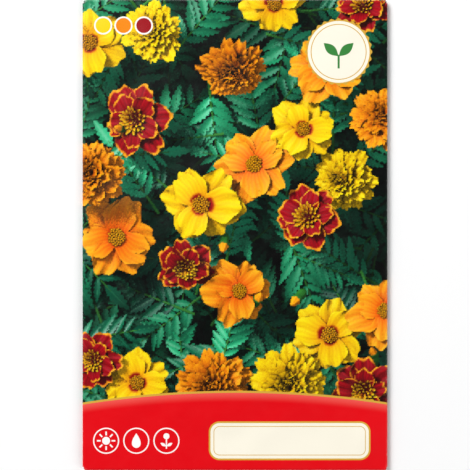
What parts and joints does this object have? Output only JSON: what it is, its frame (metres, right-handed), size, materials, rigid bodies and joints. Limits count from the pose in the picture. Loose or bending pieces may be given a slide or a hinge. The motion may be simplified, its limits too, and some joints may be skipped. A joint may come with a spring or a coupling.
{
  "type": "seed packet",
  "caption": "Flat folded paper packet with glued back seam and end flaps, swollen by the loose flower seeds inside it.",
  "frame": {"origin": "under the middle of the packet's outline, on the surface that it lies on", "axes": "+Y towards the packet's top edge, +Z out of its printed front, +X to the right as the front is read"},
  "size_m": [0.081, 0.125, 0.0036],
  "materials": {
    "printed_paper": "coated, printed, satin",
    "adhesive": "dried adhesive, satin",
    "seed_husk": "dry husk, matte"
  },
  "bodies": {
    "root": {"folded_paper_sheet": "printed_paper", "side_seam_glue": "adhesive", "top_flap_glue": "adhesive", "bottom_flap_glue": "adhesive", "seeds": "seed_husk"}
  },
  "joints": []
}
